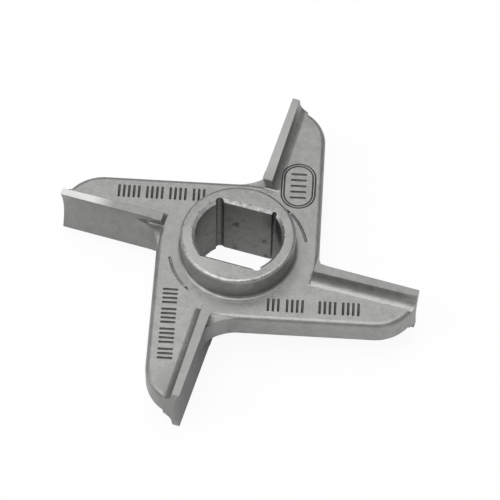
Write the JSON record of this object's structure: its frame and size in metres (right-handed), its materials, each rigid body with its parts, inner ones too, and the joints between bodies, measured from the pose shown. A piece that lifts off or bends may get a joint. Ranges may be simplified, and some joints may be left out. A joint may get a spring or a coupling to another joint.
{
  "type": "meat grinder knife",
  "caption": "Cross-shaped grinder knife in cast steel, with hollow-ground blades standing out on both faces and a hub whose round bore has two flats.",
  "frame": {"origin": "centre of the drive bore at half the hub's height, which is also the centre of the bounding box", "axes": "+Z along the bore, out of the upper hub face; +Y along one arm and square to the bore's flats; the knife turns anticlockwise about +Z"},
  "size_m": [0.078, 0.078, 0.0178],
  "materials": {
    "cast_steel": "satin cast stainless steel, ground smooth on the blade crests, cutting faces and hub faces"
  },
  "bodies": {
    "root": {"knife": "cast_steel"}
  },
  "joints": []
}
